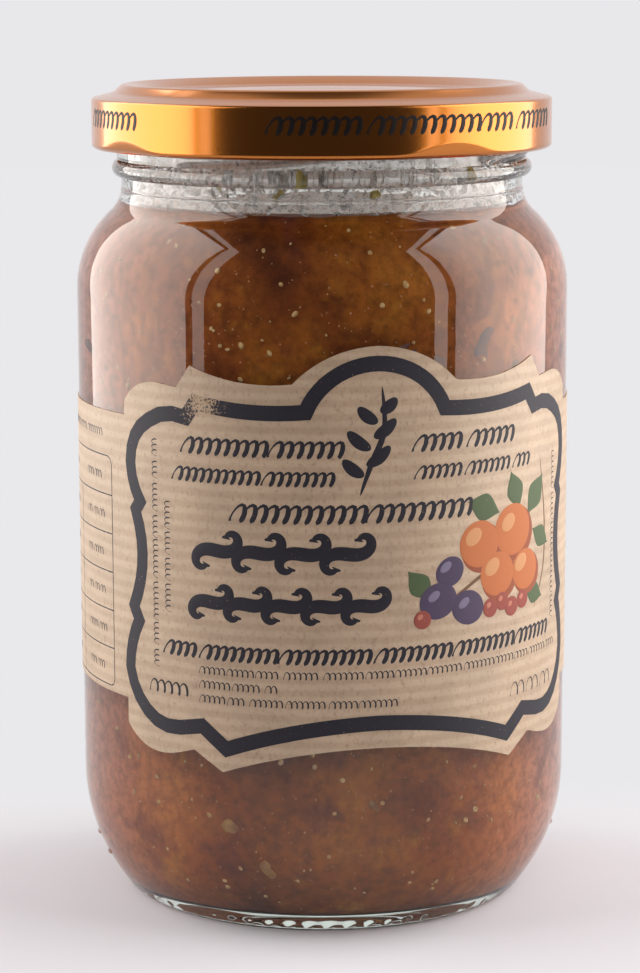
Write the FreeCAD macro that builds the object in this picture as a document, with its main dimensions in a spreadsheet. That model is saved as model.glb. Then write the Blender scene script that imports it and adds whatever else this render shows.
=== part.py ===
import FreeCAD, Part
import math
import os

import Sketcher
from FreeCAD import Base, Rotation, Vector

# A shut one-piece glass jam jar with a twist-off lid, its jam and its wrap-round paper label.
# Millimetres, +Z up, origin on the table under the middle of the jar.
# All round pieces are turned about Z, and -Y is the side that the label's front faces.

doc = FreeCAD.newDocument("jam_jar")

# ---------------------------------------------------------------- driving dimensions

SIZES = {
    # glass, outside
    "body_radius": 35.25,       # straight wall
    "glass_height": 116.4,      # table to the sealing lip
    "heel_radius": 26.5,        # long curve from the wall down to the foot
    "foot_inset": 7.65,         # the bearing ring stands this far inside the wall
    "foot_round": 2.26,         # small curve between the heel and the bearing ring
    "bearing_width": 1.2,       # flat that touches the table
    "punt_rise": 1.2,           # hollow under the base
    "shoulder_radius": 14.7,    # convex part of the shoulder
    "neck_fillet": 5.1,         # concave part of the shoulder
    "neck_radius": 28.7,
    "finish_step": 0.6,         # the threads' wall stands this far out from the neck
    "finish_length": 13.9,      # lip down to where the neck runs into the shoulder
    "lip_round": 1.2,
    "bead_drop": 11.45,         # lip down to the middle of the transfer bead
    "bead_round": 1.32,
    # glass, inside
    "wall": 2.6,
    "floor_height": 3.4,        # table to the inside floor
    "floor_round": 9.5,
    # threads
    "thread_round": 1.25,
    "thread_drop": 9.2,         # lip down to the thread's low end
    "thread_sweep": 80.0,       # degrees round the neck
    "thread_tilt": 4.7,         # degrees that each thread climbs
    "thread_first": -41.0,      # bearing of the first low end, from -Y towards +X
    # contents
    "headspace": 17.2,          # lip down to the top of the jam
    # lid
    "sheet": 0.3,
    "lid_clearance": 0.75,      # crest of the threads to the hem
    "skirt_rise": 0.4,          # lid's lower edge above the threads' low ends
    "crest_inset": 0.5,         # edge of the flat rim, inside the threads' wall
    "recess_edge": 0.1,         # recess begins this far outside the bore
    "recess_slope": 1.0,
    "recess_depth": 1.1,
    "button_radius": 14.0,
    "button_dip": 0.4,
    "bevel_drop": 1.95,         # rim down to the foot of the bevel
    "bevel_round": 14.0,
    "corner_inset": 0.4,        # rounded corner between the bevel and the skirt
    "corner_drop": 0.7,
    "corner_round": 0.8,
    "hem_round": 0.75,
    "lug_turn": 74.5,           # middle of a lug, degrees past the low end of its thread
    "lug_sweep": 18.0,
    "lug_reach": 1.1,
    # label
    "paper": 0.15,
    "label_bearing": 12.0,      # middle of the front panel, degrees from -Y towards +X
    "panel_width": 76.8,
    "label_top_gap": 4.5,       # top of the arch below the start of the shoulder
    "label_low_gap": 6.8,       # lower points above the end of the heel
    "back_gap": 14.0,           # bare glass between the label's two ends
}

THREADS = 4                     # and a lug of the lid for each

sheet = doc.addObject("Spreadsheet::Sheet", "Sizes")
for row, (alias, size) in enumerate(SIZES.items(), start=1):
    sheet.set(f"A{row}", alias)
    sheet.set(f"B{row}", str(size))
    sheet.setAlias(f"B{row}", alias)
doc.recompute()


def measure(expression):
    """The number that an expression on the sheet's names comes to."""
    result = sheet.evalExpression(expression)
    return float(getattr(result, "Value", result))


def on_sheet(expression):
    """The same expression, as another object of the document reads it."""
    for alias in sorted(SIZES, key=len, reverse=True):
        expression = expression.replace(alias, "Sizes." + alias)
    return expression


def bind(piece, **expressions):
    """Ties a piece's sizes to the sheet."""
    for name, expression in expressions.items():
        piece.setExpression(name, on_sheet(expression))


# ---------------------------------------------------------------- turned pieces

class Arc:
    """A round stretch of an outline: its radius, and +1 where it turns left or -1 right."""

    def __init__(self, radius, turn):
        self.radius = radius
        self.turn = turn


def arc_edge(start, end, radius, turn):
    chord = end - start
    half = chord.Length / 2
    towards_centre = Vector(-chord.y, chord.x, 0).normalize() * turn
    centre = start + chord / 2 + towards_centre * math.sqrt(max(radius ** 2 - half ** 2, 0))
    middle = centre + ((start + chord / 2) - centre).normalize() * radius
    return Part.Arc(start, middle, end)


def draw_outline(sketch, outline):
    """Closed outline of (radius, height) corners. An Arc between two corners rounds that side."""
    corners = [step for step in outline if not isinstance(step, Arc)]
    sides = []
    for place, step in enumerate(outline):
        if isinstance(step, Arc):
            continue
        after = outline[(place + 1) % len(outline)]
        sides.append(after if isinstance(after, Arc) else None)
    points = [Vector(measure(x), measure(z), 0) for x, z in corners]

    for number, side in enumerate(sides):
        start, end = points[number], points[(number + 1) % len(points)]
        if side is None:
            sketch.addGeometry(Part.LineSegment(start, end), False)
        else:
            sketch.addGeometry(arc_edge(start, end, measure(side.radius), side.turn), False)

    def end_of(number, leaving):
        """Sketcher's point number: an arc that turns right is stored the other way round."""
        side = sides[number]
        backwards = side is not None and side.turn < 0
        return 1 if leaving != backwards else 2

    for number in range(len(sides)):
        after = (number + 1) % len(sides)
        sketch.addConstraint(Sketcher.Constraint(
            "Coincident", number, end_of(number, False), after, end_of(after, True)))
    for number, (x, z) in enumerate(corners):
        place = end_of(number, True)
        for kind, axis, expression, value in (
                ("DistanceX", -2, x, points[number].x), ("DistanceY", -1, z, points[number].y)):
            if expression == "0":
                sketch.addConstraint(Sketcher.Constraint("PointOnObject", number, place, axis))
                continue
            index = sketch.addConstraint(Sketcher.Constraint(kind, -1, 1, number, place, value))
            sketch.setExpression(f"Constraints[{index}]", on_sheet(expression))
    for number, side in enumerate(sides):
        if side is not None:
            index = sketch.addConstraint(
                Sketcher.Constraint("Radius", number, measure(side.radius)))
            sketch.setExpression(f"Constraints[{index}]", on_sheet(side.radius))


def turned(name, outline, sweep=None):
    """A body turned about Z from an outline in the XZ plane, all round or through some degrees."""
    body = doc.addObject("PartDesign::Body", name)
    sketch = body.newObject("Sketcher::SketchObject", name + "_outline")
    plane = next(feature for feature in body.Origin.OriginFeatures if feature.Role == "XZ_Plane")
    sketch.AttachmentSupport = [(plane, "")]
    sketch.MapMode = "FlatFace"
    draw_outline(sketch, outline)
    turn = body.newObject("PartDesign::Revolution", name + "_turn")
    turn.Profile = sketch
    turn.ReferenceAxis = (sketch, ["V_Axis"])
    turn.Midplane = True
    turn.Angle = 360
    if sweep:
        bind(turn, Angle=sweep)
    body.Tip = turn
    doc.recompute()
    return body


def joined(kind, name, *pieces):
    """Part::MultiFuse, or Part::Cut and Part::Common of two pieces."""
    result = doc.addObject(kind, name)
    if kind == "Part::MultiFuse":
        result.Shapes = list(pieces)
    else:
        result.Base, result.Tool = pieces
    result.Refine = kind != "Part::MultiFuse"
    doc.recompute()
    return result


def around(bearing):
    """Placement that turns a piece made on +X to a bearing, counted from -Y towards +X."""
    return FreeCAD.Placement(Vector(), Rotation(Vector(0, 0, 1), bearing - 90))


# ---------------------------------------------------------------- glass

# Heel: the long curve is tangent to the wall, and the small foot curve to it and to the table.
heel_turn = "acos((heel_radius - foot_inset) / (heel_radius - foot_round))"
heel_height = f"(foot_round + (heel_radius - foot_round) * sin({heel_turn}))"
# Shoulder: a convex and a concave curve, tangent to the wall, to each other and to the neck.
shoulder_turn = "acos(1 - (body_radius - neck_radius) / (shoulder_radius + neck_fillet))"
neck_foot = "(glass_height - finish_length)"
shoulder_height = f"({neck_foot} - (shoulder_radius + neck_fillet) * sin({shoulder_turn}))"
finish = "(neck_radius + finish_step)"
bore = "(neck_radius - wall)"
bead_height = "(glass_height - bead_drop)"

outer_form = turned("jar_outside", [
    ("0", "punt_rise"),
    Arc("((body_radius - foot_inset - bearing_width) ^ 2 + punt_rise ^ 2) / (2 * punt_rise)", -1),
    ("body_radius - foot_inset - bearing_width", "0"),
    ("body_radius - foot_inset", "0"),
    Arc("foot_round", 1),
    (f"body_radius - heel_radius + heel_radius * cos({heel_turn})",
     f"{heel_height} - heel_radius * sin({heel_turn})"),
    Arc("heel_radius", 1),
    ("body_radius", heel_height),
    ("body_radius", shoulder_height),
    Arc("shoulder_radius", 1),
    (f"body_radius - shoulder_radius * (1 - cos({shoulder_turn}))",
     f"{shoulder_height} + shoulder_radius * sin({shoulder_turn})"),
    Arc("neck_fillet", -1),
    ("neck_radius", neck_foot),
    ("neck_radius", f"{bead_height} - bead_round"),
    Arc("bead_round", 1),
    (finish, f"{bead_height} + sqrt(bead_round ^ 2 - finish_step ^ 2)"),
    (finish, "glass_height - lip_round"),
    Arc("lip_round", 1),
    (f"{finish} - lip_round", "glass_height"),
    ("0", "glass_height"),
])

cavity = turned("jar_inside", [
    ("0", "floor_height"),
    ("body_radius - wall - floor_round", "floor_height"),
    Arc("floor_round", 1),
    ("body_radius - wall", "floor_height + floor_round"),
    ("body_radius - wall", shoulder_height),
    Arc("shoulder_radius - wall", 1),
    (f"body_radius - wall - (shoulder_radius - wall) * (1 - cos({shoulder_turn}))",
     f"{shoulder_height} + (shoulder_radius - wall) * sin({shoulder_turn})"),
    Arc("neck_fillet + wall", -1),
    (bore, neck_foot),
    (bore, "glass_height - lip_round"),
    Arc("lip_round", -1),
    (f"{bore} + lip_round", "glass_height"),
    ("0", "glass_height"),
])


def thread_height(turn):
    """Height of a thread's middle line, some degrees past its low end."""
    return (f"(glass_height - thread_drop + {finish} * sin(thread_tilt * 1deg)"
            f" * (sin(thread_sweep / 2 * 1deg) + sin(({turn} - thread_sweep / 2) * 1deg)))")


def thread(number):
    """A ridge that climbs round the neck: part of a tilted ring, with a ball at each end."""
    ridge = doc.addObject("Part::Torus", f"thread_{number}_ridge")
    bind(ridge, Radius1=finish, Radius2="thread_round", Angle3="thread_sweep")
    pieces = [ridge]
    for end, turn in (("low", "0"), ("high", "thread_sweep")):
        ball = doc.addObject("Part::Sphere", f"thread_{number}_{end}_end")
        bind(ball, Radius="thread_round",
             **{"Placement.Base.x": f"{finish} * cos({turn} * 1deg)",
                "Placement.Base.y": f"{finish} * sin({turn} * 1deg)"})
        pieces.append(ball)
    whole = joined("Part::MultiFuse", f"thread_{number}", *pieces)
    middle = math.radians(measure("thread_sweep / 2"))
    tilt = Rotation(Vector(math.cos(middle), math.sin(middle), 0), measure("thread_tilt"))
    place = around(measure("thread_first") + number * 360 / THREADS)
    place.Base.z = measure(thread_height("thread_sweep / 2"))
    whole.Placement = place.multiply(FreeCAD.Placement(Vector(), tilt))
    return whole


threads = [thread(number) for number in range(THREADS)]
glass_wall = joined("Part::Cut", "glass_wall", outer_form, cavity)
glass = joined("Part::MultiFuse", "glass_jar", glass_wall, *threads)

# ---------------------------------------------------------------- jam

fill = doc.addObject("Part::Cylinder", "fill")
bind(fill, Radius="body_radius", Height="glass_height - headspace")
jam = joined("Part::Common", "jam", cavity, fill)

# ---------------------------------------------------------------- lid

lid_top = "(glass_height + sheet)"
lid_low = "(glass_height - thread_drop + skirt_rise)"
hem_inside = f"({finish} + thread_round + lid_clearance)"
lid_skirt = f"({hem_inside} + 2 * hem_round)"


def lid_form(name, inwards):
    """The lid's face moved in by a thickness: the outside with 0, the inside with sheet."""
    skirt = f"{lid_skirt} - {inwards}"
    top = f"({lid_top} - {inwards})"
    panel = f"({top} - recess_depth)"
    recess = f"{bore} + recess_edge + {inwards}"
    return turned(name, [
        ("0", lid_low),
        (skirt, lid_low),
        (skirt, f"{top} - bevel_drop - corner_drop"),
        Arc("corner_round", 1),
        (f"{skirt} - corner_inset", f"{top} - bevel_drop"),
        Arc("bevel_round", 1),
        (f"{finish} - crest_inset - {inwards}", top),
        (recess, top),
        (f"{recess} - recess_slope", panel),
        ("button_radius", panel),
        Arc("(button_radius ^ 2 + button_dip ^ 2) / (2 * button_dip)", -1),
        ("0", f"{panel} - button_dip"),
    ])


hem = doc.addObject("Part::Torus", "lid_hem")
bind(hem, Radius1=f"{hem_inside} + hem_round", Radius2="hem_round",
     **{"Placement.Base.z": f"{lid_low} + hem_round"})


def lug(number):
    """An inward tab of the hem that hooks under a thread, just where the thread is lowest."""
    tip = f"{hem_inside} - lug_reach"
    low = f"{lid_low} + hem_round / 4"
    high = thread_height("(lug_turn - lug_sweep / 2)") + " - thread_round"
    piece = turned(f"lug_{number}", [
        (tip, low),
        (f"{lid_skirt} - sheet", low),
        (f"{lid_skirt} - sheet", high),
        (tip, high),
    ], sweep="lug_sweep")
    piece.Placement = around(measure("thread_first + lug_turn") + number * 360 / THREADS)
    return piece


lid_shell = joined("Part::Cut", "lid_shell",
                   lid_form("lid_outside", "0"), lid_form("lid_inside", "sheet"))
lugs = [lug(number) for number in range(THREADS)]
lid = joined("Part::MultiFuse", "lid", lid_shell, hem, *lugs)

# ---------------------------------------------------------------- label

# The cut edge is laid out flat: x from the middle of the front panel, y up from the table.
# Its right half runs from the middle of the bottom edge to the top of the arch.
BOTTOM_ARCH = (21.5, 3.9)       # half width of the bottom edge between its points, and its rise
LOW_POINT_NOTCH = (4.4, 2.7)    # out and up from a low point to the notch beside it
LOW_LOBE = (2.7, -0.8)          # out and up from that notch to the bottom of the lobe
LOW_SHOULDER_RISE = 2.6         # bottom of the lobe up to the foot of the panel's side
BAND_LOW_RISE = 8.1             # low points up to the side band's lower edge
BAND_TOP_DROP = 10.9            # top of the arch down to the side band's upper edge
SHOULDER_DROP = 8.9             # top of the arch down to the head of the panel's side
HIGH_LOBE = (3.6, 0.4)
HIGH_POINT_NOTCH = (2.2, -3.1)
HIGH_POINT = (26.1, 3.1)        # from the panel's middle, and below the top of the arch
ARCH = (11.5, 5.1)              # half width and rise of the arch
LOW_CORNER_BULGE = 1.5
HIGH_CORNER_BULGE = 0.9
SWEEP_SAG = 0.9                 # dip of the edge between a high point and the arch


def bowed(start, end, bulge, steps=10):
    """Points from start up to end on an arc that stands bulge to the right of the chord."""
    if not bulge:
        return [start]
    (x0, y0), (x1, y1) = start, end
    points = []
    for step in range(steps):
        along = step / steps
        out = 4 * bulge * along * (1 - along) / math.hypot(x1 - x0, y1 - y0)
        points.append((x0 + (x1 - x0) * along + (y1 - y0) * out,
                       y0 + (y1 - y0) * along - (x1 - x0) * out))
    return points


def label_outline():
    low = measure(f"{heel_height} + label_low_gap")
    high = measure(f"{shoulder_height} - label_top_gap")
    side = measure("panel_width / 2")
    end = measure("pi * body_radius - back_gap / 2")
    low_notch = (BOTTOM_ARCH[0] + LOW_POINT_NOTCH[0], low + LOW_POINT_NOTCH[1])
    low_lobe = (low_notch[0] + LOW_LOBE[0], low_notch[1] + LOW_LOBE[1])
    high_point = (HIGH_POINT[0], high - HIGH_POINT[1])
    high_notch = (high_point[0] + HIGH_POINT_NOTCH[0], high_point[1] + HIGH_POINT_NOTCH[1])
    high_lobe = (high_notch[0] + HIGH_LOBE[0], high_notch[1] + HIGH_LOBE[1])
    strokes = [
        ((0, low + BOTTOM_ARCH[1]), (BOTTOM_ARCH[0], low), -BOTTOM_ARCH[1] / 4),
        ((BOTTOM_ARCH[0], low), low_notch, 0),
        (low_notch, low_lobe, 0),
        (low_lobe, (side, low_lobe[1] + LOW_SHOULDER_RISE), LOW_CORNER_BULGE),
        ((side, low_lobe[1] + LOW_SHOULDER_RISE), (side, low + BAND_LOW_RISE), 0),
        ((side, low + BAND_LOW_RISE), (end, low + BAND_LOW_RISE), 0),
        ((end, low + BAND_LOW_RISE), (end, high - BAND_TOP_DROP), 0),
        ((end, high - BAND_TOP_DROP), (side, high - BAND_TOP_DROP), 0),
        ((side, high - BAND_TOP_DROP), (side, high - SHOULDER_DROP), 0),
        ((side, high - SHOULDER_DROP), high_lobe, HIGH_CORNER_BULGE),
        (high_lobe, high_notch, 0),
        (high_notch, high_point, 0),
        (high_point, (ARCH[0], high - ARCH[1]), -SWEEP_SAG),
        ((ARCH[0], high - ARCH[1]), (0, high), ARCH[1] / 4),
    ]
    right = [point for start, finish, bulge in strokes for point in bowed(start, finish, bulge)]
    left = [(-x, y) for x, y in reversed(right[1:])]
    return right + [(0, high)] + left


def wrapped(radius, outline):
    """The outline's face and edges on a cylinder whose seam lies in the bare gap at the back."""
    surface = Part.Cylinder()
    surface.Radius = radius
    flat = [Base.Vector2d(math.pi + x / measure("body_radius"), y) for x, y in outline]
    edges = [Part.Geom2d.Line2dSegment(start, end).toShape(surface)
             for start, end in zip(flat, flat[1:] + flat[:1])]
    return Part.Face(surface, Part.Wire(edges)), edges


def paper_label():
    outline = label_outline()
    inner_face, inner_edges = wrapped(measure("body_radius"), outline)
    outer_face, outer_edges = wrapped(measure("body_radius + paper"), outline)
    rim = [Part.makeRuledSurface(inner, outer) for inner, outer in zip(inner_edges, outer_edges)]
    skin = Part.makeShell([inner_face, outer_face] + rim)
    skin.sewShape()
    return Part.makeSolid(skin)


label = doc.addObject("Part::Feature", "label")
label.Shape = paper_label()
# The panel's middle is made on -X, and turns to its bearing.
label.Placement = around(measure("label_bearing") - 180)

# ---------------------------------------------------------------- files

doc.recompute()
os.makedirs("parts", exist_ok=True)
nodes = {"glass_jar": glass, "jam": jam, "lid": lid, "label": label}
for piece in doc.Objects:
    if "Invalid" in piece.State or "Error" in piece.State:
        raise RuntimeError(f"{piece.Name} failed: {piece.State}")
for name, piece in nodes.items():
    piece.Label = name
    shape = piece.Shape
    if shape.isNull() or not shape.isValid() or len(shape.Solids) != 1:
        raise RuntimeError(f"{name} is not one valid solid")
for name, piece in nodes.items():
    piece.Shape.exportStep(f"parts/{name}.step")
    print(f"{name}: {piece.Shape.Volume / 1000:.2f} cm3")
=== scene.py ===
import math
import random

import bmesh
import bpy
from mathutils import Matrix, Vector, noise


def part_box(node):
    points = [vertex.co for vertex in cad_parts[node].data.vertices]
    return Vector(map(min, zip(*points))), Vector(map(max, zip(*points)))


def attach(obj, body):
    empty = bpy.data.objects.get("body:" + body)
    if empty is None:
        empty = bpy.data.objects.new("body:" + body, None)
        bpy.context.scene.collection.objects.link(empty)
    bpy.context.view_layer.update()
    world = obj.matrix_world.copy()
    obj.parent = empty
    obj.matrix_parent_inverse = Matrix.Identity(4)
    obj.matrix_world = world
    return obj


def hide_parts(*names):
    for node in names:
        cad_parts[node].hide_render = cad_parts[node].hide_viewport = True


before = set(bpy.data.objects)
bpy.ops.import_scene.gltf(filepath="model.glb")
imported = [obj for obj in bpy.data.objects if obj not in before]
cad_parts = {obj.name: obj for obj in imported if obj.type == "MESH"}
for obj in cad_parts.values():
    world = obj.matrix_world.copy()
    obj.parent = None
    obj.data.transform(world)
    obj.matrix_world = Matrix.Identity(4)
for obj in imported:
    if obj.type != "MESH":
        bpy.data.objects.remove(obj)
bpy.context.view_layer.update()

# A shut jar of mixed fruit jam. Shapes are drawn in millimetres and made metres when a piece is done.
# Bearings are counted from the front, -Y, towards +X.

MM = 0.001
draw = random.Random(7)
noise.seed_set(7)               # or its vectors would follow the clock

# ---------------- sizes from the frame


def reach(node):
    """A round node's radius, lowest and highest point, in millimetres."""
    low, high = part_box(node)
    return (high[0] - low[0]) / 2 / MM, low[2] / MM, high[2] / MM


BODY_RADIUS, _, GLASS_TOP = reach("glass_jar")
CAVITY_RADIUS, CAVITY_FLOOR, FILL_LEVEL = reach("jam")
SKIRT_RADIUS, LID_LOW, LID_TOP = reach("lid")
WALL = BODY_RADIUS - CAVITY_RADIUS

# the glass, with the sizes that its solid has
HEEL_RADIUS, FOOT_INSET, FOOT_ROUND, BEARING_WIDTH, PUNT_RISE = 26.5, 7.65, 2.26, 1.2, 1.2
SHOULDER_RADIUS, NECK_FILLET, NECK_RADIUS, FINISH_RADIUS = 14.7, 5.1, 28.7, 29.3
FINISH_LENGTH, LIP_ROUND, BEAD_DROP, BEAD_ROUND, FLOOR_ROUND = 13.9, 1.2, 11.45, 1.32, 9.5
THREADS, THREAD_DROP, THREAD_FIRST, THREAD_SWEEP, THREAD_CLIMB = 4, 9.2, -41.0, 80.0, 3.09
THREAD_REACH, THREAD_HALF_WIDTH = 1.2, 1.7
SEAM_REACH, SEAM_DROP = 0.16, 0.6    # the mould seam round the foot of the neck
KNURLS, KNURL_HEIGHT, KNURL_REACH, KNURL_LEAN = 66, 0.8, 0.07, 1.5
KNURL_HALF_HEIGHT, KNURL_SHARE = 0.4, 0.56
SPOKES = KNURLS * 8             # steps round the jar, so that each knurl has eight

NECK_FOOT = GLASS_TOP - FINISH_LENGTH
BORE_RADIUS = NECK_RADIUS - WALL
HEEL_TURN = math.acos((HEEL_RADIUS - FOOT_INSET) / (HEEL_RADIUS - FOOT_ROUND))
HEEL_HEIGHT = FOOT_ROUND + (HEEL_RADIUS - FOOT_ROUND) * math.sin(HEEL_TURN)
SHOULDER_TURN = math.acos(1 - (BODY_RADIUS - NECK_RADIUS) / (SHOULDER_RADIUS + NECK_FILLET))
SHOULDER_HEIGHT = NECK_FOOT - (SHOULDER_RADIUS + NECK_FILLET) * math.sin(SHOULDER_TURN)

# ---------------- materials


def colour(hex_code):
    """An sRGB hex code as linear red, green, blue and alpha."""
    parts = [int(hex_code[place:place + 2], 16) / 255 for place in (1, 3, 5)]
    return [part / 12.92 if part <= 0.04045 else ((part + 0.055) / 1.055) ** 2.4
            for part in parts] + [1.0]


def per(size):
    """Texture scale for features of a size in millimetres, on Object coordinates in metres."""
    return 1 / (size * MM)


def add(tree, kind, inputs=None, stops=(), **settings):
    """A node with its settings. An input is a value, the socket that it is linked to, or the node
    whose first output it is linked to. The stops of a colour ramp are (place, hex code)."""
    made = tree.nodes.new(kind)
    for name, value in settings.items():
        setattr(made, name, value)
    for name, value in (inputs or {}).items():
        if isinstance(value, bpy.types.Node):
            value = value.outputs[0]
        if isinstance(value, bpy.types.NodeSocket):
            tree.links.new(value, made.inputs[name])
        else:
            made.inputs[name].default_value = value
    if stops:
        elements = made.color_ramp.elements
        while len(elements) < len(stops):
            elements.new(0.5)
        for element, (place, hex_code) in zip(elements, stops):
            element.position = place
            element.color = colour(hex_code)
    return made


FACTOR, FIRST, SECOND, MIXED = 0, 6, 7, 2      # sockets of a Mix node that mixes colours
WAVE_LENGTH = 0.314                            # of a wave texture at a scale of 1


def new_material(name):
    material = bpy.data.materials.new(name)
    material.use_nodes = True
    material.node_tree.nodes.clear()
    return material


def surfaced(material, inputs):
    """The material, given one Principled shader with these inputs."""
    tree = material.node_tree
    shader = add(tree, "ShaderNodeBsdfPrincipled", inputs)
    add(tree, "ShaderNodeOutputMaterial", {"Surface": shader})
    return material


def places(tree, scale=(1, 1, 1), centre=(0, 0, 0)):
    """Object coordinates about a centre in millimetres, stretched by a scale."""
    texture = add(tree, "ShaderNodeTexCoord")
    shift = [-c * MM * s for c, s in zip(centre, scale)]
    return add(tree, "ShaderNodeMapping",
               {"Vector": texture.outputs["Object"], "Location": shift, "Scale": scale})


def container_glass():
    """Soda-lime container glass, blown in a mould: clear and fire-polished, with a trace of
    green where it is seen lengthways, as in the base."""
    material = new_material("container_glass")
    tree = material.node_tree
    shader = add(tree, "ShaderNodeBsdfPrincipled",
                 {"Base Color": colour("#fdfffe"), "Roughness": 0.0, "IOR": 1.52,
                  "Transmission Weight": 1.0})
    tint = add(tree, "ShaderNodeVolumeAbsorption", {"Color": colour("#cfe8d4"), "Density": 9.0})
    add(tree, "ShaderNodeOutputMaterial", {"Surface": shader, "Volume": tint})
    return material


def fruit_jam():
    """Fruit boiled down in sugar, wet against the glass: dark amber brown, clouded by bits of
    orange pulp and olive fig flesh, with plum coloured skins that show softly from deeper in.
    Towards its sides it is painted paler and warmer, a painted glow standing in for the light that
    gets through there."""
    material = new_material("fruit_jam")
    tree = material.node_tree
    where = places(tree)
    spot = add(tree, "ShaderNodeSeparateXYZ", {0: where})
    lumps = add(tree, "ShaderNodeTexNoise",
                {"Vector": where, "Scale": per(14), "Detail": 3.0, "Roughness": 0.55})
    tone = add(tree, "ShaderNodeValToRGB", {"Fac": lumps},
               ((0.30, "#50240e"), (0.43, "#743b13"), (0.56, "#8c4e18"), (0.70, "#a66722")))
    # painted light: the further out to the left or right, the paler and warmer the jam is painted, for
    # light that gets through its sides
    aside = add(tree, "ShaderNodeMath", {0: spot.outputs["X"]}, operation="ABSOLUTE")
    aside = add(tree, "ShaderNodeMath",
                {0: aside, 1: 1 / (CAVITY_RADIUS * MM)}, operation="MULTIPLY")
    painted_side_light = add(tree, "ShaderNodeValToRGB", {"Fac": aside},
              ((0.26, "#000000"), (0.54, "#8c8c8c"), (0.80, "#bcbcbc"), (0.97, "#e4e4e4")))
    glow = add(tree, "ShaderNodeValToRGB", {"Fac": aside},
               ((0.45, "#c96a2f"), (0.75, "#e78e5f"), (0.95, "#de9b83")))
    # painted light: towards the bottom the jam is painted lighter, for light that the floor sends up
    # into it
    low = add(tree, "ShaderNodeMapRange",
              {"Value": spot.outputs["Z"], "From Min": 4 * MM, "From Max": 34 * MM, "To Min": 0.15,
               "To Max": 0.0})
    layers = [(painted_side_light, glow), (low, colour("#b0683f"))]
    for centre, size, detail, roughness, stops, hex_code in (
            ((31, 12, 5), 6, 3.0, 0.6, ((0.58, "#000000"), (0.74, "#909090")), "#c98b2b"),
            ((-40, 20, 9), 8, 2.0, 0.55, ((0.58, "#000000"), (0.70, "#b4b4b4")), "#58272c")):
        patch = add(tree, "ShaderNodeTexNoise",
                    {"Vector": places(tree, centre=centre), "Scale": per(size), "Detail": detail,
                     "Roughness": roughness})
        layers.append((add(tree, "ShaderNodeValToRGB", {"Fac": patch}, stops), colour(hex_code)))
    for share, over in layers:
        tone = add(tree, "ShaderNodeMix",
                   {FACTOR: share, FIRST: tone, SECOND: over}, data_type="RGBA").outputs[MIXED]
    fine = add(tree, "ShaderNodeTexNoise",
               {"Vector": where, "Scale": per(1.5), "Detail": 4.0, "Roughness": 0.7})
    pulp = add(tree, "ShaderNodeValToRGB", {"Fac": fine}, ((0.32, "#c2c2c2"), (0.60, "#ffffff")))
    tone = add(tree, "ShaderNodeMix",
               {FACTOR: 1.0, FIRST: tone, SECOND: pulp},
               data_type="RGBA", blend_type="MULTIPLY").outputs[MIXED]
    return surfaced(material, {"Base Color": tone, "Roughness": 0.45, "IOR": 1.4,
                               "Specular IOR Level": 0.05})


def mottled(name, light, dark, size, roughness):
    """A stuff that clouds between two colours, in patches of a size in millimetres."""
    material = new_material(name)
    tree = material.node_tree
    patch = add(tree, "ShaderNodeTexNoise", {"Vector": places(tree), "Scale": per(size)})
    tone = add(tree, "ShaderNodeValToRGB", {"Fac": patch}, ((0.35, dark), (0.65, light)))
    return surfaced(material, {"Base Color": tone, "Roughness": roughness})


def condensed_water():
    """Steam settled as drops: clear, and bright where it bends the light."""
    return surfaced(new_material("condensed_water"),
                    {"Roughness": 0.0, "IOR": 1.33, "Transmission Weight": 1.0})


def settled_steam():
    """A film of steam and sugar on the glass: a thin, warm grey cloud with finer and denser spots."""
    material = new_material("settled_steam")
    tree = material.node_tree
    grain = add(tree, "ShaderNodeTexNoise",
                {"Vector": places(tree), "Scale": per(0.8), "Detail": 4.0, "Roughness": 0.7})
    tone = add(tree, "ShaderNodeValToRGB", {"Fac": grain},
               ((0.33, "#a08068"), (0.46, "#f6e8dc"), (0.6, "#fffcfa")))
    return surfaced(material, {"Base Color": tone, "Roughness": 0.35, "Alpha": 0.24})


def lacquered_tinplate():
    """Tinplate pressed into shape under gold lacquer: a coppery mirror, softened by the rolling."""
    material = new_material("lacquered_tinplate")
    tree = material.node_tree
    grain = add(tree, "ShaderNodeTexNoise",
                {"Vector": places(tree, (1, 1, 0.08)), "Scale": per(0.5)})
    bump = add(tree, "ShaderNodeBump", {"Height": grain, "Strength": 0.12, "Distance": 0.02 * MM})
    return surfaced(material, {"Base Color": colour("#b8702f"), "Metallic": 1.0, "Roughness": 0.2,
                               "Coat Weight": 0.3, "Coat Roughness": 0.06, "Coat IOR": 1.5,
                               "Normal": bump})


def lid_offset_ink():
    """Violet black ink printed over the lacquer: dull, so that it stays dark as the gold shines."""
    return surfaced(new_material("lid_offset_ink"), {"Base Color": colour("#0c0506"),
                                                     "Roughness": 0.5, "Specular IOR Level": 0.25})


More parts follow.
